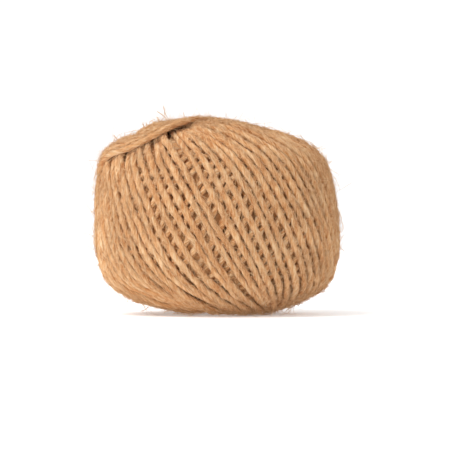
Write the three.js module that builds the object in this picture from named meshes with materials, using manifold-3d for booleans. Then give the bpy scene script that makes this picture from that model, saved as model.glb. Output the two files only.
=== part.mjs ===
// A ball of jute twine: one length of twine wound in crossing loops around an upright
// axis, standing on one end. Millimetres, +Z up along the winding axis. The front of
// the ball faces -Y. The solid is the wound form with the ridges of its outer strands.
import * as THREE from 'three';
import { mergeVertices } from 'three/addons/utils/BufferGeometryUtils.js';
import Module from 'manifold-3d';

const wasm = await Module();
wasm.setup();

// The wound form: distance from the ball's centre to the outside of the twine, by
// latitude, on its left side, its front and back, and its right side. The rows are
// evenly spaced in latitude.
const FORM = [
  { latitude: -90, left: 32.0, front: 32.0, right: 32.0 },
  { latitude: -75, left: 32.0, front: 33.6, right: 33.7 },
  { latitude: -60, left: 34.1, front: 37.2, right: 36.0 },
  { latitude: -45, left: 38.9, front: 39.7, right: 40.0 },
  { latitude: -30, left: 42.6, front: 41.5, right: 43.3 },
  { latitude: -15, left: 41.3, front: 40.7, right: 42.0 },
  { latitude: 0, left: 39.4, front: 40.0, right: 40.0 },
  { latitude: 15, left: 40.3, front: 40.5, right: 39.8 },
  { latitude: 30, left: 42.4, front: 41.4, right: 40.6 },
  { latitude: 45, left: 38.5, front: 39.0, right: 37.4 },
  { latitude: 60, left: 36.4, front: 36.0, right: 32.9 },
  { latitude: 75, left: 34.9, front: 32.6, right: 31.0 },
  { latitude: 90, left: 31.6, front: 31.6, right: 31.6 },
];

// Winding
const LOOP_TILT = 60; // degrees between a loop's plane and the equator
const STRANDS = 64; // strands side by side around the equator
const LAST_LOOP = 100; // longitude where the last loop crosses the equator on the right
const LAYER_STEP = 1.2; // how far the last loop stands above the strands it crosses

// Ridges: height across one strand as a share of RIDGE_HEIGHT, starting in the valley
const RIDGE_PROFILE = [0, 1, 1];
const RIDGE_HEIGHT = 1.5; // from the valley between two strands to their tops
const RIDGE_ROWS = 16;
const RIDGE_LIMIT = 58; // latitude where the ridges end, at the rim
const RIDGE_FADE = 9; // degrees over which they die away before it

// Ends: rings from the rim to the pit at the axis. reach is a share of the rim's radius,
// and depth is measured below the rim.
const RIM_LATITUDE = 61;
const RIM_COLUMNS = 48;
const RIM_RISE = 45; // degrees over which the rim comes up again to the last loop
const DISH = [
  { reach: 0.86, depth: 0.4 },
  { reach: 0.68, depth: 2.2 },
  { reach: 0.48, depth: 4.8 },
  { reach: 0.3, depth: 7.2 },
  { reach: 0.19, depth: 8.8 },
  { reach: 0.16, depth: 14.0 },
];

// Each end: the rim's plane at the axis, from the ball's centre, and the share of the
// layer step that is left at the rim. The base has settled to an even rim.
const TOP = { height: 31.6, step: 1 };
const BASE = { height: 32.0, step: 0 };
const SETTLED_FROM = 25; // latitude where the step starts to change towards a rim

// Flat spot that the ball stands on, below its centre
const FLAT_DEPTH = 31.6;

const OVERLAP = 0.3; // how far one side reaches into the other at the last loop
const CUTTER = 200;
const JUTE = { color: 0xc89a66, roughness: 0.95, metalness: 0 };

const radians = THREE.MathUtils.degToRad;
const profile = {
  left: formCurve('left'),
  front: formCurve('front'),
  right: formCurve('right'),
};

function formCurve(side) {
  return new THREE.SplineCurve(FORM.map((row) => new THREE.Vector2(row.latitude, row[side])));
}

// Longitude runs from the front of the ball towards its right side.
function direction(latitude, longitude) {
  const level = Math.cos(radians(latitude));
  return new THREE.Vector3(
    Math.sin(radians(longitude)) * level,
    -Math.cos(radians(longitude)) * level,
    Math.sin(radians(latitude)),
  );
}

function formRadius(latitude, longitude) {
  const place = (latitude + 90) / 180;
  const left = profile.left.getPoint(place).y;
  const front = profile.front.getPoint(place).y;
  const right = profile.right.getPoint(place).y;
  const across = Math.sin(radians(longitude));
  const side = (left + right) / 2 + (across * (right - left)) / 2;
  return front + (side - front) * across * across;
}

// How far round the ball a strand has gone from the equator, at a latitude
function swing(latitude) {
  const share = Math.tan(radians(latitude)) / Math.tan(radians(LOOP_TILT));
  return THREE.MathUtils.radToDeg(Math.asin(share));
}

function toSolid(geometry) {
  geometry.deleteAttribute('normal');
  geometry.deleteAttribute('uv');
  const merged = mergeVertices(geometry, 1e-4);
  return new wasm.Manifold(new wasm.Mesh({
    numProp: 3,
    vertProperties: Float32Array.from(merged.attributes.position.array),
    triVerts: Uint32Array.from(merged.index.array),
  }));
}

// Faces between two rings of point numbers. The upper one may have fewer points, if
// their number divides that of the lower one.
function stitch(lower, upper, faces) {
  const each = lower.length / upper.length;
  upper.forEach((point, index) => {
    const next = upper[(index + 1) % upper.length];
    for (let step = 0; step < each; step += 1) {
      const place = index * each + step;
      faces.push(lower[place], lower[(place + 1) % lower.length], point);
    }
    faces.push(point, lower[((index + 1) * each) % lower.length], next);
  });
}

// A closed body from rings of points, first ring lowest, closed by a point at each end
function ringBody(rings, low, high) {
  let count = 0;
  const numbers = rings.map((ring) => ring.map(() => {
    count += 1;
    return count - 1;
  }));
  const faces = [];
  for (let row = 0; row < rings.length - 1; row += 1) {
    stitch(numbers[row], numbers[row + 1], faces);
  }
  const first = numbers[0];
  first.forEach((point, index) => {
    faces.push(count, first[(index + 1) % first.length], point);
  });
  const last = numbers[numbers.length - 1];
  last.forEach((point, index) => {
    faces.push(point, last[(index + 1) % last.length], count + 1);
  });
  const points = [...rings.flat(), low, high];
  const geometry = new THREE.BufferGeometry();
  geometry.setAttribute('position', new THREE.Float32BufferAttribute(
    points.flatMap((point) => point.toArray()),
    3,
  ));
  geometry.setIndex(faces);
  return geometry;
}

// How far a strand lies below the last one laid, by the degrees that it lies behind it:
// by a whole layer step from half a turn on
function layerDrop(behind) {
  return LAYER_STEP * Math.min(behind / 180, 1);
}

// Latitudes of the ridged rows from one rim to the other, closer together near the rims
function ridgeLatitude(row) {
  const place = (2 * row) / RIDGE_ROWS - 1;
  return (RIDGE_LIMIT * (place + Math.sin((place * Math.PI) / 2))) / 2;
}

// Columns all round the ball, each with its longitude and how far it lies behind the
// first column
function columnsFrom(first, count) {
  return Array.from({ length: count }, (_, index) => ({
    index,
    longitude: first + (360 * index) / count,
    behind: (360 * ((count - index) % count)) / count,
  }));
}

// The rings of a dished end on top, from the rim down into the dish
function endRings(first, end, radiusAt) {
  const rim = columnsFrom(first, RIM_COLUMNS).map(({ longitude, behind }) => {
    const rise = end.step * Math.min((360 - behind) / RIM_RISE, 1);
    const radius = radiusAt(RIM_LATITUDE, longitude) - rise * layerDrop(behind);
    return direction(RIM_LATITUDE, longitude).multiplyScalar(radius);
  });
  const middle = new THREE.Vector3(0, 0, end.height);
  const dish = DISH.map(({ reach, depth }) => rim.map((point) => {
    const placed = middle.clone().lerp(point, reach);
    placed.z -= depth;
    return placed;
  }));
  return [rim, ...dish];
}

// A body with the ridges of strands that rise to the right all over it, and a dished end
// on top. newest is the longitude where the last strand crosses the equator.
function ridgedBody(newest, end, radiusAt) {
  const perStrand = RIDGE_PROFILE.length;
  const first = newest + 180 / STRANDS;
  const columns = columnsFrom(first, STRANDS * perStrand);
  const rings = [];
  for (let row = 0; row <= RIDGE_ROWS; row += 1) {
    const latitude = ridgeLatitude(row);
    const turned = swing(latitude);
    const room = (RIDGE_LIMIT - Math.abs(latitude)) / RIDGE_FADE;
    const ridge = RIDGE_HEIGHT * THREE.MathUtils.smoothstep(room, 0, 1);
    const settled = THREE.MathUtils.smoothstep(latitude, SETTLED_FROM, RIDGE_LIMIT);
    const step = THREE.MathUtils.lerp(1, end.step, settled);
    rings.push(columns.map(({ index, longitude, behind }) => {
      const valley = ridge * (1 - RIDGE_PROFILE[index % perStrand]);
      const outer = radiusAt(latitude, longitude + turned);
      const radius = outer - valley - step * layerDrop(behind);
      return direction(latitude, longitude + turned).multiplyScalar(radius);
    }));
  }
  rings.push(...endRings(first + swing(RIDGE_LIMIT), end, radiusAt));
  const pit = end.height - DISH[DISH.length - 1].depth;
  return ringBody(rings, new THREE.Vector3(0, 0, 0), new THREE.Vector3(0, 0, pit));
}

// The same body upside down, so that its strands rise to the left and its dish is below
function upsideDown(geometry) {
  geometry.scale(1, 1, -1);
  geometry.setIndex(Array.from(geometry.index.array).reverse());
  return geometry;
}

// Everything on the side that normal points to, from a distance along it
function halfSpace(normal, distance) {
  const box = new THREE.BoxGeometry(CUTTER, CUTTER, CUTTER);
  box.translate(0, 0, CUTTER / 2 + distance);
  const up = new THREE.Vector3(0, 0, 1);
  box.applyQuaternion(new THREE.Quaternion().setFromUnitVectors(up, normal));
  return toSolid(box);
}

// The last loop's plane parts the surface in two. In front of it the strands that rise
// to the left lie on top, and behind it those that rise to the right.
function woundBall() {
  const crossing = LAST_LOOP + 180 / STRANDS;
  const side = direction(0, crossing);
  const top = direction(LOOP_TILT, crossing - 90);
  const forward = side.clone().cross(top).normalize();
  const backward = forward.clone().negate();
  const leftRising = upsideDown(ridgedBody(
    LAST_LOOP,
    BASE,
    (latitude, longitude) => formRadius(-latitude, longitude),
  ));
  const rightRising = ridgedBody(LAST_LOOP - 180, TOP, formRadius);
  const front = toSolid(leftRising).intersect(halfSpace(forward, 0));
  const back = toSolid(rightRising).intersect(halfSpace(backward, -OVERLAP));
  const below = halfSpace(new THREE.Vector3(0, 0, -1), FLAT_DEPTH);
  return front.add(back).subtract(below);
}

function toGeometry(solid) {
  const mesh = solid.getMesh();
  const geometry = new THREE.BufferGeometry();
  geometry.setAttribute('position', new THREE.Float32BufferAttribute(mesh.vertProperties, 3));
  geometry.setIndex(Array.from(mesh.triVerts));
  return geometry;
}

function ball() {
  const geometry = toGeometry(woundBall());
  geometry.computeBoundingBox();
  const box = geometry.boundingBox;
  const centre = box.getCenter(new THREE.Vector3());
  geometry.translate(-centre.x, -centre.y, -box.min.z);
  const mesh = new THREE.Mesh(geometry, new THREE.MeshStandardMaterial(JUTE));
  mesh.name = 'ball';
  return mesh;
}

const twine = new THREE.Group();
twine.add(ball());

export default twine;
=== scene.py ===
"""A ball of jute twine, wound from crossing loops of three-ply twine, on a pale floor.

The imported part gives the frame: +Z up along the winding axis, front towards -Y. Lengths are
millimetres about the ball's centre until make_mesh turns them into metres in the frame.
"""
import math
from collections import namedtuple

import bpy
import numpy as np
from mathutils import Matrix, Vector


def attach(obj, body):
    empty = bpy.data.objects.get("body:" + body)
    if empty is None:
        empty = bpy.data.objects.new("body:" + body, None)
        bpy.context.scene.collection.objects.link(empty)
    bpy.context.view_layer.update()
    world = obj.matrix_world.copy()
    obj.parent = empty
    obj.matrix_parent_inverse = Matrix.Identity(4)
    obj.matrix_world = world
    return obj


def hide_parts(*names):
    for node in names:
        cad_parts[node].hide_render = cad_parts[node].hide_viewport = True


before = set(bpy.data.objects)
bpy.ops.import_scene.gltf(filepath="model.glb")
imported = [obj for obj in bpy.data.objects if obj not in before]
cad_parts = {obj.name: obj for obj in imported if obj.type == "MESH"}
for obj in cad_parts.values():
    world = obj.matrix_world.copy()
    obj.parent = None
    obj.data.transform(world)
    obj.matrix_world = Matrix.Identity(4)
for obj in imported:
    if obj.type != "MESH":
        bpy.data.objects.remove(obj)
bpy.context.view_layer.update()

MM = 0.001
RANDOM = np.random.default_rng(7)

# The wound form: distance from the ball's centre to the outside of the twine at evenly
# spaced latitudes from the base to the top, on its left side, front and back, and right.
FORM_LEFT = (32.0, 32.0, 34.1, 38.9, 42.6, 41.3, 39.4, 40.3, 42.4, 38.5, 36.4, 34.9, 31.6)
FORM_FRONT = (32.0, 33.6, 37.2, 39.7, 41.5, 40.7, 40.0, 40.5, 41.4, 39.0, 36.0, 32.6, 31.6)
FORM_RIGHT = (32.0, 33.7, 36.0, 40.0, 43.3, 42.0, 40.0, 39.8, 40.6, 37.4, 32.9, 31.0, 31.6)
CENTRE_HEIGHT = 31.6  # of the ball's centre above the floor
FORM_CENTRE = (-0.2, 0.0)  # of the ball's axis in the frame

# Winding
LOOP_TILT = 60.0  # degrees between a loop's plane and the equator
TILT_SWAY = 1.0  # degrees by which the tilt slowly changes from loop to loop
SWAY_PACE = 0.55  # radians of that slow wave from one loop to the next
TILT_SCATTER = 0.35  # degrees
STRANDS = 64  # strands side by side around the equator
LAST_LOOP = 100.0  # longitude where the last loop crosses the equator on the right
SCATTER = 0.07  # of a loop's place, as a share of the distance between loops

# The last loops leave their plane: how many degrees towards the front, at places along a
# loop in degrees from its crossing of the equator on the right. The newest ones bend in
# full and are a little narrower, and the bend fades out over the others.
BEND_PLACES = (0, 60, 85, 100, 108, 114, 126, 135, 142, 147, 154, 163, 180, 210, 245, 360)
BEND = (0, 0, -4, -5, -2, 2, 6.5, 8, 3.5, -1.5, -11, -14, -12, -6, 0, 0)
BEND_SMOOTHING = 14.0  # steps along a loop over which its corners are rounded
BENT_LOOPS = 13  # in all
NEWEST_LOOPS = 5  # those that bend in full
NEWEST_WIDTH = 0.88  # their width, as a share of the others'
BEND_RISE = {"place": 114.0, "reach": 22.0, "height": 1.6}  # where they cross others

OPEN_LOOPS = 36  # newest loops, which lie open over most of their length
LAYER_STEP = 1.2  # how far the last loop stands above the strands it crosses
SETTLED_FROM = 25.0  # latitude below which that step fades out towards the base
RIM_LATITUDE = 60.0
RIM_RISE = 45.0  # degrees over which the top rim comes up again to the last loop
DEEPEST = (1.25, 2.4, 3.4)  # how deep the strands of each layer may be pressed in
RIM_DEEPEST = (0.8, 1.8, 2.8)  # the same where the loops turn at the rims

# Twine, a little flattened by its neighbours
HALF_WIDTH = 1.08
HALF_HEIGHT = 1.02
PLIES = 3
GROOVE = 0.14  # depth between two plies, as a share of the radius
TWIST_LENGTH = 14.0  # of a whole turn of the plies
START_TURN = 6.0  # radians that they are turned by at most where a strand starts
SLUBS = 0.08  # unevenness of the strands, as a share of their thickness
SLUB_LENGTH = 3.0
TUFTS = 0.07  # unevenness of the bundles of fibres on a strand, as a share of its radius
TUFT_LENGTH = 1.0
NOISE_LIMIT = 2.2  # most of either unevenness, in times its usual size
PACKING = 0.52  # share of the twine's height left where one strand crosses another
DIVE = 2.2  # length over which a strand comes up again after a crossing
DOWN = 0.7  # share of that length for which it stays down first
GIVE = 0.3  # how far a strand may press into those that lie over it
WIDTH_SHARE = 0.62  # half a crowded strand's width, as a share of the distance to the next
TRACK_SHARE = 0.47  # half the width that it keeps free of older ones, likewise
NARROWEST = 0.45  # least share of its width left to a strand squeezed in at the rims
NARROWEST_TRACK = 0.8 * NARROWEST
SHINGLE = 1.1  # how far a loop's newer side stands above the older one at its turn
SHINGLE_REACH = 12.0  # degrees to each side of the turn over which it does

# Turns that show inside each dished end: their drop below the rim, their distance from the
# axis and their number
END_TURNS = (
    {"drop": 0.0, "reach": 17.0, "turns": 20},
    {"drop": 0.6, "reach": 15.0, "turns": 18},
    {"drop": 1.6, "reach": 12.9, "turns": 16},
    {"drop": 2.8, "reach": 10.8, "turns": 14},
    {"drop": 4.2, "reach": 8.7, "turns": 12},
    {"drop": 5.8, "reach": 6.7, "turns": 10},
    {"drop": 7.6, "reach": 4.9, "turns": 8},
)
END_TURN_HALF = 11.5  # length of such a turn to each side of its middle
END_TURN_PLACES = 72
END_TURN_SCATTER = 0.1  # of a turn's place, as a share of the distance between turns
END_REACH_SCATTER = 0.3  # of its distance from the axis
END_SMOOTHING = 4  # places over which it comes up again beside the loops on it
END_MIDDLE = 31.6  # height of the open end over the axis, from the centre
END_DEEPEST = 4.0  # how deep an end turn may be pressed in under the loops
END_SHINGLE = 0.7  # how far each end turn rises over the one before and dips under the next
CORE_DEPTH = 3.9  # from the outside of the twine down to the mass under the strands
CORE_GAP = 3.4  # from the end turns down to it
CORE_INSET = 1.5  # from the middles of the end turns towards the axis
CORE_COLUMNS = 72
CORE_LATITUDES = np.linspace(-56, 56, 27)
PIT = {"reach": 2.8, "depth": 6.4}  # its radius, and its floor below the last end turns

# Steps along a loop, and how it strays from its plane: in slow waves and in fine ripples,
# by their size in radians and their number in a turn
PATH_STEPS = 960
TURN = np.arange(PATH_STEPS) / PATH_STEPS * 2 * math.pi
MEAN_RADIUS = 40.0
LOOP_LENGTH = 2 * math.pi * MEAN_RADIUS
DRIFT = {"size": 0.006, "lowest": 2, "highest": 8}
RIPPLE = {"size": 0.0011, "lowest": 14, "highest": 34}

# Places across a strand where it meets others, and its height there as a share of the most
ACROSS = np.linspace(-1, 1, 9)
BULGE = np.sqrt(1 - ACROSS ** 2)

# Corners for each ply of a strand's section and the step along it, from the outside in
FINE = {"per_ply": 4, "step": 0.65}
MEDIUM = {"per_ply": 3, "step": 0.95}
COARSE = {"per_ply": 2, "step": 1.6}
END_PLY = 2  # corners for each ply of the turns in the ends
END_THINNING = 3  # places of such a turn for each one of its mesh
END_STEP = 1.0  # about the step that this makes

# The bake's map: a strip for each loop, and a square cell for each tube or fibre. A tube's
# cell holds its wall, and beside it the two ends.
STRIP_MARGIN = 0.04
CELL_MARGIN = 0.08
CELL_INNER = 1 - 2 * CELL_MARGIN
WALL_LENGTH = 0.6
CAP_RADIUS = 0.1
CAP_PLACES = ((0.83, 0.25), (0.83, 0.75))

# Loose fibres: how many, their length, how steeply they leave the strand and how far they
# stray from its direction in degrees, how much they curl, their radius and the places
# along each
Fuzz = namedtuple("Fuzz", "name count length lift stray curl radius places")
FIBRES = (
    Fuzz("fibres_lying", 13000, (1.2, 6.0), (2, 14), 26, 0.7, 0.06, 4),
    Fuzz("fibres_short_a", 16000, (0.8, 2.4), (5, 35), 50, 0.8, 0.055, 3),
    Fuzz("fibres_short_b", 16000, (0.5, 1.6), (15, 65), 60, 1.2, 0.045, 3),
    Fuzz("fibres_long", 900, (4.0, 10.0), (5, 35), 30, 1.6, 0.045, 7),
)
SHOWN_DEPTH = 1.4  # how far below the outermost strands fibres still grow
FIBRE_SPREAD = 48.0  # degrees around a strand, from its outer side
FIBRE_ROOT = 0.9  # share of the strand's half height where they start
FIBRE_FALL = 1.6  # how much they turn back to the strand
AHEAD_CURL = 0.35  # of their curl to the side
FIBRE_THICKNESS = (0.7, 1.3)  # least and most radius, as shares of the usual one

# Long fibres that stand out from the outline: their root and tip to the right of the axis
# and above the ball's centre, and how far they bow to one side
STRAYS = (
    {"root": (-14.0, 30.5), "tip": (-17.0, 36.6), "bow": 0.7},
    {"root": (-14.6, 30.3), "tip": (-19.4, 34.6), "bow": -0.4},
    {"root": (-18.6, 29.3), "tip": (-19.2, 32.9), "bow": -0.5},
    {"root": (-8.8, 31.0), "tip": (-10.4, 34.3), "bow": 0.4},
    {"root": (-30.5, 24.2), "tip": (-33.2, 27.0), "bow": 0.3},
    {"root": (39.8, -8.0), "tip": (42.6, -11.6), "bow": -0.5},
    {"root": (-21.5, -28.8), "tip": (-24.6, -30.6), "bow": 0.5},
)
STRAY_PLACES = 9
STRAY_RADIUS = 0.12

# Colours of the fibres, from the darkest to the palest, on the outside and further in. Those
# further in are deeper and redder as painted shade, the warm dark of light caught down in the
# gaps.
OUTSIDE = ((0.45, 0.18, 0.057), (0.63, 0.33, 0.14), (0.74, 0.51, 0.295))
INSIDE_WITH_PAINTED_SHADE = ((0.54, 0.205, 0.06), (0.68, 0.32, 0.115), (0.74, 0.43, 0.185))
FIBRE_TONES = ((0.61, 0.32, 0.14), (0.79, 0.525, 0.29))
CORE_TONES = ((0.46, 0.205, 0.075), (0.62, 0.33, 0.14))

# Streaks of fibre on a strand: how many lie across it, their length, the noise's detail
# and their share in the tone and in the relief
Streaks = namedtuple("Streaks", "across length detail tone relief")
STREAKS = (
    Streaks(15.0, 2.5, 3.0, 0.5, 0.5),
    Streaks(5.0, 7.0, 2.0, 0.3, 0.5),
    Streaks(1.0, 25.0, 1.0, 0.2, 0.0),
)
TONE_PLACES = (0.42, 0.49, 0.575)  # values that get the dark, the middle and the pale tone
LOOSE_PLACES = (0.38, 0.62)  # the same for jute without strips
GRAIN = 900.0  # noise cells in a metre of that
RELIEF = 0.0009  # height of the streaks in metres

# Photograph, in pixels: its width and middle, and the width and middle of the ball in it
IMAGE_WIDTH = 450
IMAGE_CENTRE = (225.0, 225.0)
BALL_PIXELS = 246.0
BALL_PIXEL = (216.0, 217.0)
BALL_WIDTH = 80.0
PIXEL = BALL_WIDTH / BALL_PIXELS  # millimetres of the ball for each pixel
CAMERA_DISTANCE = 0.8  # metres
SENSOR = 36.0  # width of the camera's sensor


def unit(vectors):
    """The vectors with a length of 1."""
    return vectors / np.linalg.norm(vectors, axis=-1, keepdims=True)


def smoothstep(share):
    """From 0 to 1 with soft ends as the share goes from 0 to 1."""
    share = np.clip(share, 0.0, 1.0)
    return share * share * (3 - 2 * share)


def form_curve(table, latitude):
    """The table's value at each latitude, on a smooth curve through its rows."""
    table = np.asarray(table)
    place = np.clip((latitude + 90.0) / 180.0 * (len(table) - 1), 0.0, len(table) - 1)
    row = np.minimum(place.astype(int), len(table) - 2)
    share = place - row
    before = table[np.maximum(row - 1, 0)]
    here = table[row]
    following = table[row + 1]
    after = table[np.minimum(row + 2, len(table) - 1)]
    start = (following - before) / 2
    end = (after - here) / 2
    cubic = 2 * here - 2 * following + start + end
    square = 3 * following - 3 * here - 2 * start - end
    return ((cubic * share + square) * share + start) * share + here


def direction(latitude, longitude):
    """Unit vectors. Longitude runs from the front of the ball towards its right side."""
    rise, turn = np.broadcast_arrays(np.radians(latitude), np.radians(longitude))
    level = np.cos(rise)
    return np.stack([np.sin(turn) * level, -np.cos(turn) * level, np.sin(rise)], axis=-1)


def latitude_of(towards):
    """Latitude in degrees of unit vectors."""
    return np.degrees(np.arcsin(np.clip(towards[..., 2], -1.0, 1.0)))


def form_radius(towards):
    """Distance from the centre to the outside of the twine, for unit vectors."""
    latitude = latitude_of(towards)
    level = np.maximum(np.hypot(towards[..., 0], towards[..., 1]), 1e-9)
    across = towards[..., 0] / level
    left = form_curve(FORM_LEFT, latitude)
    front = form_curve(FORM_FRONT, latitude)
    right = form_curve(FORM_RIGHT, latitude)
    side = (left + right) / 2 + across * (right - left) / 2
    radius = front + (side - front) * across * across
    flat = CENTRE_HEIGHT / np.maximum(-towards[..., 2], 1e-6)
    return np.where(towards[..., 2] < 0, np.minimum(radius, flat), radius)


class DepthMap:
    """How far out the next strand may reach in each direction, on two equal-area discs."""

    CELLS = 256
    FREE = 1000.0  # reach where nothing lies yet

    def __init__(self):
        self.reach = np.full((2, self.CELLS, self.CELLS), self.FREE)

    def cells(self, towards):
        disc = towards[..., :2] / np.sqrt(1 + np.abs(towards[..., 2:]))
        place = np.clip(((disc + 1) / 2 * self.CELLS).astype(int), 0, self.CELLS - 1)
        return (towards[..., 2] > 0).astype(int), place[..., 1], place[..., 0]

    def read(self, towards):
        return self.reach[self.cells(towards)]

    def stamp(self, towards, reach):
        np.minimum.at(self.reach, self.cells(towards), reach)


def lowest_near(values, width):
    """Lowest value within width places on a closed row."""
    result = values.copy()
    for step in range(1, width + 1):
        result = np.minimum(result, np.roll(values, step))
        result = np.minimum(result, np.roll(values, -step))
    return result


def smoothed(values, width):
    """A closed row smoothed by a bell curve of width places."""
    count = len(values)
    wave = np.fft.rfftfreq(count) * count
    keep = np.exp(-0.5 * (2 * np.pi * wave * width / count) ** 2)
    return np.fft.irfft(np.fft.rfft(values) * keep, count)


def wander(turn, size, lowest, highest):
    """A random sideways drift along a loop, of so many waves in a turn."""
    drift = np.zeros_like(turn)
    for wave in range(lowest, highest + 1):
        phase = RANDOM.uniform(0, 2 * math.pi)
        drift += RANDOM.normal() / wave * np.sin(wave * turn + phase)
    return size * lowest * drift


# A laid strand: its centre line, and its width at each place as a share of its thickness
Strand = namedtuple("Strand", "points width")


def loop_directions(crossing, tilt, bend):
    """Directions along a closed loop, and the normal of its plane."""
    side = direction(0.0, crossing)
    top = direction(tilt, crossing - 90)
    normal = np.cross(side, top)
    towards = np.cos(TURN)[:, None] * side + np.sin(TURN)[:, None] * top
    drift = wander(TURN, **DRIFT) + wander(TURN, **RIPPLE) + bend
    return unit(towards + drift[:, None] * normal), normal


def last_bend(place, behind):
    """How far a loop leaves its plane at each place along it, and how far it rises there. It
    crosses the equator so many degrees behind the last loop."""
    share = 1 - smoothstep((place - NEWEST_LOOPS) / (BENT_LOOPS - NEWEST_LOOPS))
    along = (np.degrees(TURN) + behind * math.cos(math.radians(LOOP_TILT))) % 360
    bend = np.tan(np.radians(np.interp(along, BEND_PLACES, BEND)))
    from_rise = (along - BEND_RISE["place"]) / BEND_RISE["reach"]
    rise = BEND_RISE["height"] * np.exp(-from_rise ** 2)
    return share * smoothed(bend, BEND_SMOOTHING), share * rise


def loop_spacing(pitch):
    """Distance from a loop to the next one at each place along it: least at the rims. The
    pitch is in degrees around the equator."""
    equator = LOOP_LENGTH * pitch / 360
    return equator * math.sin(math.radians(LOOP_TILT)) * np.abs(np.cos(TURN))


def strand_width(spacing):
    """Width of a strand at each place as a share of its full width, and of the track that
    it keeps free of older ones."""
    width = np.clip(WIDTH_SHARE * spacing / HALF_WIDTH, NARROWEST, 1.0)
    track = np.clip(TRACK_SHARE * spacing / HALF_WIDTH, NARROWEST_TRACK, 1.0)
    return width, track


def shingle():
    """How far a loop dips at each place: its older side lies under the newer loops."""
    from_top = np.degrees((TURN - math.pi / 2 + math.pi) % (2 * math.pi) - math.pi)
    from_base = np.degrees((TURN - 3 * math.pi / 2 + math.pi) % (2 * math.pi) - math.pi)
    older = np.where(np.abs(from_top) < 90, -from_top, from_base)
    return SHINGLE * (0.5 + 0.5 * np.tanh(older / SHINGLE_REACH))


def lay(depths, towards, sideways, ceiling, footprint, deepest):
    """Lays a strand under what already covers its route, and returns its centre line."""
    spread = ACROSS[None, :, None] * (footprint / ceiling)[:, None, None]
    across = unit(towards[:, None, :] + spread * sideways)
    room = (depths.read(across) - HALF_HEIGHT * BULGE).min(axis=1)
    highest = ceiling - HALF_HEIGHT
    room = np.clip(room, highest - deepest, highest)
    reach = DIVE * PATH_STEPS / LOOP_LENGTH
    centre = smoothed(lowest_near(room, int(DOWN * reach)), reach)
    centre = np.minimum(centre, room + GIVE)
    below = centre[:, None] - HALF_HEIGHT * (2 * PACKING - 1) * BULGE
    depths.stamp(across, below)
    return towards * centre[:, None]


def wind(depths):
    """All the loops, newest first."""
    pitch = 360.0 / STRANDS
    spacing = loop_spacing(pitch)
    width, track = strand_width(spacing)
    crowded = 1 - smoothstep(spacing / (2 * HALF_WIDTH))
    dip = shingle() * crowded
    layer_loops = STRANDS // 2
    strands = []
    for place in range(layer_loops * len(DEEPEST)):
        layer = place // layer_loops
        deepest = DEEPEST[layer] + (RIM_DEEPEST[layer] - DEEPEST[layer]) * crowded
        crossing = LAST_LOOP - pitch * (place + RANDOM.normal(0, SCATTER))
        sway = TILT_SWAY * math.sin(place * SWAY_PACE)
        tilt = LOOP_TILT + sway + RANDOM.normal(0, TILT_SCATTER)
        bend, rise = last_bend(place, pitch * place)
        towards, normal = loop_directions(crossing, tilt, bend)
        low = (-latitude_of(towards) - SETTLED_FROM) / (RIM_LATITUDE - SETTLED_FROM)
        step = LAYER_STEP * (1 - smoothstep(low))
        ceiling = form_radius(towards) - step * min(place * pitch / 180, 1) - dip + rise
        line = lay(depths, towards, normal, ceiling, HALF_WIDTH * track, deepest)
        strands.append(Strand(line, width * (NEWEST_WIDTH if place < NEWEST_LOOPS else 1.0)))
    return strands


def end_height(place, end):
    """Height of an end's open side over places across it. The end is 1 on top, -1 below."""
    reach = np.maximum(np.hypot(place[..., 0], place[..., 1]), 1e-6)
    level = math.cos(math.radians(RIM_LATITUDE))
    rise = math.sin(math.radians(RIM_LATITUDE))
    towards = np.stack([
        place[..., 0] / reach * level,
        place[..., 1] / reach * level,
        np.full_like(reach, end * rise),
    ], axis=-1)
    rim = form_radius(towards)
    share = np.minimum(reach / (rim * level), 1.0)
    return END_MIDDLE + (rim * rise - END_MIDDLE) * share


def end_step(place):
    """How far the top end lies lower behind the last loop, like the loops around it."""
    longitude = np.degrees(np.arctan2(place[..., 0], -place[..., 1]))
    behind = (LAST_LOOP - 90 - longitude) % 360
    return LAYER_STEP * np.minimum((360 - behind) / RIM_RISE, 1) * np.minimum(behind / 180, 1)


def wind_end(depths, end):
    """The turns that show inside a dished end, outermost first."""
    along = np.linspace(-END_TURN_HALF, END_TURN_HALF, END_TURN_PLACES)[:, None]
    strands = []
    for ring in END_TURNS:
        start = RANDOM.uniform(0, 360)
        apart = math.tan(math.pi / ring["turns"]) * ring["reach"]
        lean = END_SHINGLE * np.tanh(along[:, 0] / apart)
        for turn in range(ring["turns"]):
            jitter = RANDOM.normal(0, END_TURN_SCATTER)
            angle = math.radians(start + 360 * (turn + jitter) / ring["turns"])
            reach = ring["reach"] + RANDOM.normal(0, END_REACH_SCATTER)
            outward = np.array([math.cos(angle), math.sin(angle)])
            ahead = np.array([-math.sin(angle), math.cos(angle)])
            place = reach * outward + along * ahead
            height = end_height(place, end) - ring["drop"] - HALF_HEIGHT + lean
            if end > 0:
                height = height - end_step(place)
            points = np.concatenate([place, end * height[:, None]], axis=1)
            towards = unit(points)
            middle = np.linalg.norm(points, axis=1)
            room = depths.read(towards) - HALF_HEIGHT
            room = lowest_near(np.minimum(room, middle), END_SMOOTHING)
            room = smoothed(room, END_SMOOTHING)
            room = np.maximum(room, middle - END_DEEPEST)
            strands.append(Strand(towards * room[:, None], np.ones(len(points))))
    return strands


def ring_points(route, ahead, outward, height, width, angle):
    """Points around each place of a route. The angle has a row of values for each place."""
    along = unit(ahead)
    out = unit(outward - (outward * along).sum(axis=-1, keepdims=True) * along)
    across = np.cross(along, out)
    return (
        route[..., None, :]
        + (height * np.cos(angle))[..., None] * out[..., None, :]
        + (width * np.sin(angle))[..., None] * across[..., None, :]
    )


def ply_columns(per_ply):
    """Angles of a section's corners, and their share of the radius on the plies' lobes."""
    sides = PLIES * per_ply
    angle = np.arange(sides) / sides * 2 * math.pi
    lobe = np.abs(np.cos(PLIES / 2 * angle))
    return angle, 1 - GROOVE * (1 - lobe)


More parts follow.
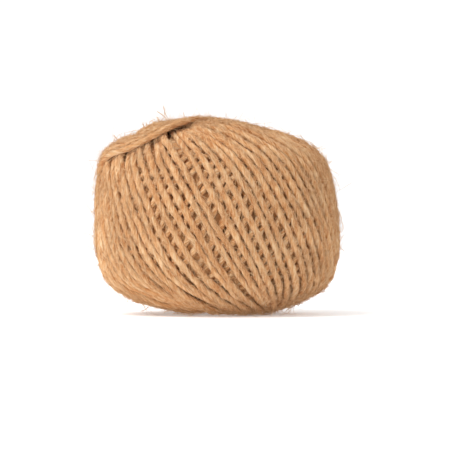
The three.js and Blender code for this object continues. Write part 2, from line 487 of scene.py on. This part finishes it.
def even_noise(shape, places):
    """Random values of spread 1, smooth over so many places of the first axis."""
    white = RANDOM.normal(0, 1, shape)
    noise = np.stack([smoothed(row, places) for row in white.T], axis=-1)
    noise = noise * math.sqrt(2 * math.sqrt(math.pi) * places)
    return np.clip(noise, -NOISE_LIMIT, NOISE_LIMIT)


def thickness(share, count, step):
    """Size of a strand's section at each place and corner: slubs, plies and tufts."""
    slubs = 1 + SLUBS * even_noise((count, 1), SLUB_LENGTH / step)
    tufts = 1 + TUFTS * even_noise((count, len(share)), TUFT_LENGTH / step)
    return share[None, :] * slubs * tufts


def loops_mesh(name, strands, material, per_ply, step):
    """Joined closed loops of twisted twine, with a strip of the bake's map for each."""
    column_angle, share = ply_columns(per_ply)
    sides = len(column_angle)
    inner = 1 - 2 * STRIP_MARGIN
    points = []
    faces = []
    maps = []
    first = 0
    for number, (line, width) in enumerate(strands):
        total = np.linalg.norm(np.roll(line, -1, axis=0) - line, axis=1).sum()
        count = int(round(total / step))
        source = np.linspace(0, len(line), count, endpoint=False)
        low = source.astype(int)
        rest = (source - low)[:, None]
        route = line[low] * (1 - rest) + line[(low + 1) % len(line)] * rest
        ahead = np.roll(route, -1, axis=0) - np.roll(route, 1, axis=0)
        turns = round(total / TWIST_LENGTH)
        twist = np.arange(count) / count * turns * 2 * math.pi + RANDOM.uniform(0, START_TURN)
        size = thickness(share, count, step)
        angle = column_angle[None, :] + twist[:, None]
        flat = HALF_WIDTH * width[low][:, None] * size
        rings = ring_points(route, ahead, route, HALF_HEIGHT * size, flat, angle)
        points.append(rings.reshape(-1, 3))
        row, column = np.meshgrid(np.arange(count), np.arange(sides), indexing="ij")
        after = (row + 1) % count
        beside = (column + 1) % sides
        faces.append(first + np.stack([
            row * sides + column,
            row * sides + beside,
            after * sides + beside,
            after * sides + column,
        ], axis=-1).reshape(-1, 4))
        left = row / count
        right = (row + 1) / count
        low_edge = (number + STRIP_MARGIN + inner * column / sides) / len(strands)
        high_edge = (number + STRIP_MARGIN + inner * (column + 1) / sides) / len(strands)
        maps.append(np.stack([
            np.stack([left, low_edge], -1),
            np.stack([left, high_edge], -1),
            np.stack([right, high_edge], -1),
            np.stack([right, low_edge], -1),
        ], axis=2).reshape(-1, 2))
        first += count * sides
    return make_mesh(name, np.concatenate(points), np.concatenate(faces),
                     np.concatenate(maps), material)


def open_tubes(name, rings, material):
    """Closed tubes from rings of points: an array of tubes, places, corners and x, y, z."""
    tubes, places, sides, _ = rings.shape
    row, column = np.meshgrid(np.arange(places - 1), np.arange(sides), indexing="ij")
    beside = column + 1
    here = np.stack([row, column], -1)
    across = np.stack([row, beside], -1)
    opposite = np.stack([row + 1, beside], -1)
    onward = np.stack([row + 1, column], -1)
    corners = np.stack([here, across, opposite, here, opposite, onward], axis=2)
    corners = corners.reshape(-1, 3, 2)
    fan = np.arange(1, sides - 1)
    start = np.stack([0 * fan, fan + 1, fan], -1)
    faces = corners[..., 0] * sides + corners[..., 1] % sides
    last = (places - 1) * sides
    faces = np.concatenate([faces, start, last + start[:, ::-1]])
    numbers = np.arange(tubes)[:, None, None] * places * sides + faces[None]
    grid = math.ceil(math.sqrt(tubes))
    wall = np.stack([CELL_MARGIN + WALL_LENGTH * corners[..., 0] / (places - 1),
                     CELL_MARGIN + CELL_INNER * corners[..., 1] / sides], -1)
    turn = 2 * math.pi * np.arange(sides) / sides
    disc = CAP_RADIUS * np.stack([np.cos(turn), np.sin(turn)], -1)
    caps = np.concatenate([disc[start] + CAP_PLACES[0], disc[start[:, ::-1]] + CAP_PLACES[1]])
    cell = np.stack([np.arange(tubes) % grid, np.arange(tubes) // grid], -1)
    flat = (cell[:, None, None, :] + np.concatenate([wall, caps])[None]) / grid
    return make_mesh(name, rings.reshape(-1, 3), numbers.reshape(-1, 3),
                     flat.reshape(-1, 2), material)


def end_mesh(name, strands, material):
    """The turns inside the dished ends, as tubes with closed ends."""
    column_angle, share = ply_columns(END_PLY)
    rings = []
    for line, _ in strands:
        route = line[::END_THINNING]
        ahead = np.gradient(route, axis=0)
        length = np.linalg.norm(ahead, axis=1).cumsum()
        twist = length / TWIST_LENGTH * 2 * math.pi + RANDOM.uniform(0, START_TURN)
        size = thickness(share, len(route), END_STEP)
        angle = column_angle[None, :] + twist[:, None]
        high, flat = HALF_HEIGHT * size, HALF_WIDTH * size
        rings.append(ring_points(route, ahead, route, high, flat, angle))
    return open_tubes(name, np.stack(rings), material)


def make_mesh(name, points, faces, corners, material):
    """A smooth mesh object from points about the ball's centre, kept above the floor."""
    points = points + np.array([FORM_CENTRE[0], FORM_CENTRE[1], CENTRE_HEIGHT])
    points[:, 2] = np.maximum(points[:, 2], 0.0)
    sides = faces.shape[1]
    mesh = bpy.data.meshes.new(name)
    mesh.vertices.add(len(points))
    mesh.vertices.foreach_set("co", (points * MM).astype(np.float32).ravel())
    mesh.loops.add(faces.size)
    mesh.loops.foreach_set("vertex_index", faces.astype(np.int32).ravel())
    mesh.polygons.add(len(faces))
    mesh.polygons.foreach_set("loop_start", np.arange(0, faces.size, sides, dtype=np.int32))
    mesh.update(calc_edges=True)
    mesh.polygons.foreach_set("use_smooth", np.ones(len(faces), dtype=bool))
    if corners is not None:
        layer = mesh.uv_layers.new(name="OFBake")
        layer.uv.foreach_set("vector", corners.astype(np.float32).ravel())
    mesh.materials.append(material)
    piece = bpy.data.objects.new(name, mesh)
    bpy.context.collection.objects.link(piece)
    return piece


def strays(name, material):
    """The long fibres of the table, in the plane of the outline."""
    share = np.linspace(0, 1, STRAY_PLACES)[:, None]
    paths = []
    for row in STRAYS:
        root = np.array([row["root"][0], 0.0, row["root"][1]])
        tip = np.array([row["tip"][0], 0.0, row["tip"][1]])
        aside = unit(np.cross(tip - root, (0.0, 1.0, 0.0)))
        paths.append(root + share * (tip - root) + row["bow"] * np.sin(math.pi * share) * aside)
    side = np.broadcast_to([0.0, 1.0, 0.0], (len(paths), 3))
    return spindles(name, np.stack(paths), side, STRAY_RADIUS, material)


def surface_places(strands):
    """Places of the strands that lie open to view, their way along and their way outward."""
    route = np.concatenate([line for line, _ in strands])
    along = np.concatenate([
        np.roll(line, -1, axis=0) - np.roll(line, 1, axis=0) for line, _ in strands
    ])
    outward = unit(route)
    depth = form_radius(outward) - np.linalg.norm(route, axis=1)
    shown = depth < HALF_HEIGHT + SHOWN_DEPTH
    return route[shown], unit(along[shown]), outward[shown]


def fibres(open_places, fuzz, material):
    """Thin pointed fibres that leave the strands at a slant and curl back."""
    name, count, length, lift, stray, curl, radius, places = fuzz
    route, along, outward = open_places
    chosen = RANDOM.integers(0, len(route), count)
    along = along[chosen] * RANDOM.choice([-1.0, 1.0], count)[:, None]
    across = unit(np.cross(along, outward[chosen]))
    out = np.cross(across, along)
    around = np.radians(RANDOM.normal(0, FIBRE_SPREAD, count))[:, None]
    normal = np.cos(around) * out + np.sin(around) * across
    side = np.cross(normal, along)
    start = route[chosen] + FIBRE_ROOT * HALF_HEIGHT * normal
    rise = np.radians(RANDOM.uniform(*lift, count))[:, None]
    yaw = np.radians(RANDOM.normal(0, stray, count))[:, None]
    ahead = np.cos(yaw) * along + np.sin(yaw) * side
    heading = np.cos(rise) * ahead + np.sin(rise) * normal
    bend = RANDOM.normal(0, curl, (count, 1)) * side - FIBRE_FALL * np.sin(rise) * normal
    bend = bend + RANDOM.normal(0, AHEAD_CURL * curl, (count, 1)) * ahead
    step = RANDOM.uniform(*length, count)[:, None] / (places - 1)
    points = [start]
    for place in range(places - 1):
        share = (place + 0.5) / (places - 1)
        points.append(points[-1] + step * unit(heading + share * bend))
    paths = np.stack(points, axis=1)
    paths[..., 2] = np.maximum(paths[..., 2], 2 * radius - CENTRE_HEIGHT)
    return spindles(name, paths, side, radius, material)


def spindles(name, paths, side, radius, material):
    """Three-sided spindles along paths, pointed at both ends, with a grid cell for each."""
    count, places, _ = paths.shape
    inner = paths[:, 1:-1]
    thick = radius * RANDOM.uniform(*FIBRE_THICKNESS, (count, 1, 1))
    thick = np.broadcast_to(thick, (count, places - 2, 1))
    angle = np.broadcast_to(np.arange(3) / 3 * 2 * math.pi, (count, places - 2, 3))
    sideways = np.broadcast_to(side[:, None, :], inner.shape)
    ahead = np.gradient(paths, axis=1)[:, 1:-1]
    rings = ring_points(inner, ahead, sideways, thick, thick, angle)
    points = np.concatenate(
        [paths[:, :1], rings.reshape(count, -1, 3), paths[:, -1:]], axis=1)
    corners = spindle_corners(places)
    row, column = corners[..., 0], corners[..., 1]
    number = np.where(row == 0, 0, 1 + (row - 1) * 3 + column % 3)
    number = np.where(row == places - 1, 1 + (places - 2) * 3, number)
    faces = np.arange(count)[:, None, None] * points.shape[1] + number[None]
    middle = np.where((row == 0) | (row == places - 1), 0.5, 0.0)
    flat = np.stack([CELL_MARGIN + CELL_INNER * row / (places - 1),
                     CELL_MARGIN + CELL_INNER * (column + middle) / 3], -1)
    grid = math.ceil(math.sqrt(count))
    cell = np.stack([np.arange(count) % grid, np.arange(count) // grid], -1)
    flat = (cell[:, None, None, :] + flat[None]) / grid
    return make_mesh(name, points.reshape(-1, 3), faces.reshape(-1, 3),
                     flat.reshape(-1, 2), material)


def spindle_corners(places):
    """Corners of a spindle's triangles, each as its place along it and its side."""
    corners = []
    last = places - 1
    for side in range(3):
        corners.append([(0, side), (1, side + 1), (1, side)])
        corners.append([(last - 1, side), (last - 1, side + 1), (last, side)])
        for row in range(1, last - 1):
            corners.append([(row, side), (row, side + 1), (row + 1, side + 1)])
            corners.append([(row, side), (row + 1, side + 1), (row + 1, side)])
    return np.array(corners)


def core_mesh(name, material):
    """The wound mass under the strands, closed, with its dished ends and pits."""
    columns = CORE_COLUMNS
    longitude = np.arange(columns) / columns * 360
    pit_drop = END_TURNS[-1]["drop"] + PIT["depth"]
    rings = []
    for end in (-1, 1):
        dish = [
            place_ring(ring["reach"] - CORE_INSET, ring["drop"] + CORE_GAP, end, longitude)
            for ring in END_TURNS
        ]
        dish.append(place_ring(PIT["reach"], pit_drop, end, longitude))
        rings.append(dish)
    wall = []
    for latitude in CORE_LATITUDES:
        towards = direction(latitude, longitude)
        wall.append(towards * (form_radius(towards) - CORE_DEPTH)[:, None])
    rows = rings[0][::-1] + wall + rings[1]
    points = np.concatenate(rows + [rows[0].mean(axis=0)[None], rows[-1].mean(axis=0)[None]])
    row, column = np.meshgrid(np.arange(len(rows) - 1), np.arange(columns), indexing="ij")
    here = row * columns + column
    beside = row * columns + (column + 1) % columns
    walls = np.stack([here, beside, beside + columns, here, beside + columns, here + columns], -1)
    edge = np.arange(columns)
    following = (edge + 1) % columns
    top = (len(rows) - 1) * columns
    middle = len(rows) * columns
    low = np.stack([middle + 0 * edge, following, edge], -1)
    high = np.stack([middle + 1 + 0 * edge, top + edge, top + following], -1)
    faces = np.concatenate([walls.reshape(-1, 3), low, high])
    return make_mesh(name, points, faces, None, material)


def place_ring(reach, drop, end, longitude):
    """A ring of points inside a dished end."""
    turn = np.radians(longitude)
    place = np.stack([reach * np.sin(turn), -reach * np.cos(turn)], -1)
    height = end * (end_height(place, end) - drop)
    return np.concatenate([place, height[:, None]], axis=1)


# Materials

def node(tree, kind, **settings):
    """A new node with its properties or inputs set by name."""
    made = tree.nodes.new(kind)
    for name, value in settings.items():
        if hasattr(made, name):
            setattr(made, name, value)
        else:
            made.inputs[name.replace("_", " ")].default_value = value
    return made


def shader_of(material, roughness):
    """The material's shader, set as for dry fibre."""
    material.use_nodes = True
    shader = material.node_tree.nodes["Principled BSDF"]
    shader.inputs["Roughness"].default_value = roughness
    shader.inputs["Specular IOR Level"].default_value = 0.2
    shader.inputs["Sheen Weight"].default_value = 0.2
    shader.inputs["Sheen Roughness"].default_value = 0.6
    shader.inputs["Sheen Tint"].default_value = (1.0, 0.8, 0.6, 1.0)
    return shader


def blend(tree, parts):
    """The weighted sum of several values."""
    total = None
    for socket, weight in parts:
        step = node(tree, "ShaderNodeMath", operation="MULTIPLY_ADD")
        tree.links.new(socket, step.inputs[0])
        step.inputs[1].default_value = weight
        step.inputs[2].default_value = 0.0
        if total is not None:
            tree.links.new(total, step.inputs[2])
        total = step.outputs[0]
    return total


def colours(tree, value, stops):
    """A colour for each value, from pairs of a value and a colour."""
    ramp = node(tree, "ShaderNodeValToRGB")
    elements = ramp.color_ramp.elements
    elements[0].position, elements[1].position = stops[0][0], stops[-1][0]
    elements[0].color, elements[1].color = (*stops[0][1], 1), (*stops[-1][1], 1)
    for position, colour in stops[1:-1]:
        elements.new(position).color = (*colour, 1)
    tree.links.new(value, ramp.inputs["Fac"])
    return ramp.outputs["Color"]


def strip_noise(tree, place, across, along, detail):
    """Noise on the strips, so many cells across and along all of them."""
    stretch = node(tree, "ShaderNodeMapping", Scale=(along, across, 1.0))
    noise = node(tree, "ShaderNodeTexNoise", Scale=1.0, Detail=detail, Roughness=0.6)
    tree.links.new(place, stretch.inputs["Vector"])
    tree.links.new(stretch.outputs["Vector"], noise.inputs["Vector"])
    return noise.outputs["Fac"]


def jute(name, strips, length, tones):
    """Dry jute on a strip for each strand: fibres as streaks, uneven along the strand."""
    material = bpy.data.materials.new(name)
    shader = shader_of(material, 0.9)
    tree = material.node_tree
    strip = node(tree, "ShaderNodeUVMap", uv_map="OFBake").outputs["UV"]
    noises = [
        strip_noise(tree, strip, strips * row.across, length / row.length, row.detail)
        for row in STREAKS
    ]
    value = blend(tree, [(noise, row.tone) for noise, row in zip(noises, STREAKS)])
    colour = colours(tree, value, list(zip(TONE_PLACES, tones)))
    tree.links.new(colour, shader.inputs["Base Color"])
    bump = node(tree, "ShaderNodeBump", Strength=1.0, Distance=RELIEF)
    relief = blend(tree, [
        (noise, row.relief) for noise, row in zip(noises, STREAKS) if row.relief > 0
    ])
    tree.links.new(relief, bump.inputs["Height"])
    tree.links.new(bump.outputs["Normal"], shader.inputs["Normal"])
    return material


def loose_jute(name, tones):
    """Jute without a strip: tone changes from place to place."""
    material = bpy.data.materials.new(name)
    shader = shader_of(material, 0.8)
    tree = material.node_tree
    solid = node(tree, "ShaderNodeTexCoord")
    tone = node(tree, "ShaderNodeTexNoise", Scale=GRAIN, Detail=2.0)
    tree.links.new(solid.outputs["Object"], tone.inputs["Vector"])
    colour = colours(tree, tone.outputs["Fac"], list(zip(LOOSE_PLACES, tones)))
    tree.links.new(colour, shader.inputs["Base Color"])
    return material


def plain(name, colour, roughness, glow):
    """An even material that gives off a little light of its own."""
    material = bpy.data.materials.new(name)
    material.use_nodes = True
    shader = material.node_tree.nodes["Principled BSDF"]
    shader.inputs["Base Color"].default_value = (*colour, 1)
    shader.inputs["Roughness"].default_value = roughness
    shader.inputs["Emission Color"].default_value = (1, 1, 1, 1)
    shader.inputs["Emission Strength"].default_value = glow
    return material


def dress(piece):
    """Puts a piece of the ball on the part's body, in place of the solid."""
    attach(piece, "root")
    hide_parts("ball")


# The ball
depths = DepthMap()
loops = wind(depths)
ends = wind_end(depths, 1) + wind_end(depths, -1)
open_half = OPEN_LOOPS // 2
covered_half = (len(loops) - OPEN_LOOPS) // 2
inner_from = OPEN_LOOPS + covered_half
end_rows = math.ceil(math.sqrt(len(ends)))
open_places = surface_places(loops)
fibre_jute = loose_jute("jute_fibre", FIBRE_TONES)
core_jute = loose_jute("jute_core", CORE_TONES)
outer_jute = jute("jute_outer", open_half, LOOP_LENGTH, OUTSIDE)
middle_jute = jute("jute_middle", covered_half, LOOP_LENGTH, OUTSIDE)
# The innermost strands show only down in the gaps, and their colours carry painted shade
inner_shaded_jute = jute("jute_inner_painted_shade", covered_half, LOOP_LENGTH, INSIDE_WITH_PAINTED_SHADE)
end_jute = jute("jute_ends", end_rows, end_rows * 2 * END_TURN_HALF, OUTSIDE)

dress(loops_mesh("strands_outer_a", loops[:open_half], outer_jute, **FINE))
dress(loops_mesh("strands_outer_b", loops[open_half:OPEN_LOOPS], outer_jute, **FINE))
dress(loops_mesh("strands_middle", loops[OPEN_LOOPS:inner_from], middle_jute, **MEDIUM))
dress(loops_mesh("strands_inner", loops[inner_from:], inner_shaded_jute, **COARSE))
dress(end_mesh("strands_ends", ends, end_jute))
dress(core_mesh("core", core_jute))
for fuzz in FIBRES:
    dress(fibres(open_places, fuzz, fibre_jute))
dress(strays("fibres_stray", fibre_jute))

# Floor, light and camera
bpy.ops.mesh.primitive_plane_add(size=4.0, location=(0, 0, 0))
floor = bpy.context.object
floor.name = "floor"
floor.data.materials.append(plain("floor_white", (0.95, 0.95, 0.95), roughness=0.9, glow=0.3))


def soft_light(name, place, strength, spread):
    """Even light from the direction of a place, as soft as a panel that many degrees wide."""
    light = bpy.data.lights.new(name, "SUN")
    light.energy = strength
    light.angle = math.radians(spread)
    lamp = bpy.data.objects.new(name, light)
    lamp.rotation_euler = (-Vector(place)).to_track_quat("-Z", "Y").to_euler()
    bpy.context.collection.objects.link(lamp)


def studio(name, light, backdrop):
    """A white world with its own strengths as light and as what the camera sees."""
    world = bpy.data.worlds.new(name)
    world.use_nodes = True
    tree = world.node_tree
    lit = tree.nodes["Background"]
    seen = tree.nodes.new("ShaderNodeBackground")
    for background, strength in ((lit, light), (seen, backdrop)):
        background.inputs["Color"].default_value = (1, 1, 1, 1)
        background.inputs["Strength"].default_value = strength
    ray = tree.nodes.new("ShaderNodeLightPath")
    choice = tree.nodes.new("ShaderNodeMixShader")
    tree.links.new(ray.outputs["Is Camera Ray"], choice.inputs["Fac"])
    tree.links.new(lit.outputs["Background"], choice.inputs[1])
    tree.links.new(seen.outputs["Background"], choice.inputs[2])
    tree.links.new(choice.outputs["Shader"], tree.nodes["World Output"].inputs["Surface"])
    return world


soft_light("key", place=(-0.75, -0.45, 1.15), strength=1.9, spread=40.0)
soft_light("front", place=(-0.6, -1.0, 0.05), strength=0.93, spread=30.0)
bpy.context.scene.world = studio("studio", light=0.78, backdrop=1.1)
bpy.context.scene.view_settings.view_transform = "Standard"

aim = Vector((
    (IMAGE_CENTRE[0] - BALL_PIXEL[0]) * PIXEL * MM,
    0.0,
    (CENTRE_HEIGHT + (BALL_PIXEL[1] - IMAGE_CENTRE[1]) * PIXEL) * MM,
))
camera_data = bpy.data.cameras.new("camera")
camera_data.sensor_width = SENSOR
camera_data.lens = SENSOR * CAMERA_DISTANCE / (IMAGE_WIDTH * PIXEL * MM)
camera = bpy.data.objects.new("camera", camera_data)
camera.location = aim + Vector((0, -CAMERA_DISTANCE, 0))
camera.rotation_euler = (math.pi / 2, 0, 0)
bpy.context.collection.objects.link(camera)
bpy.context.scene.camera = camera
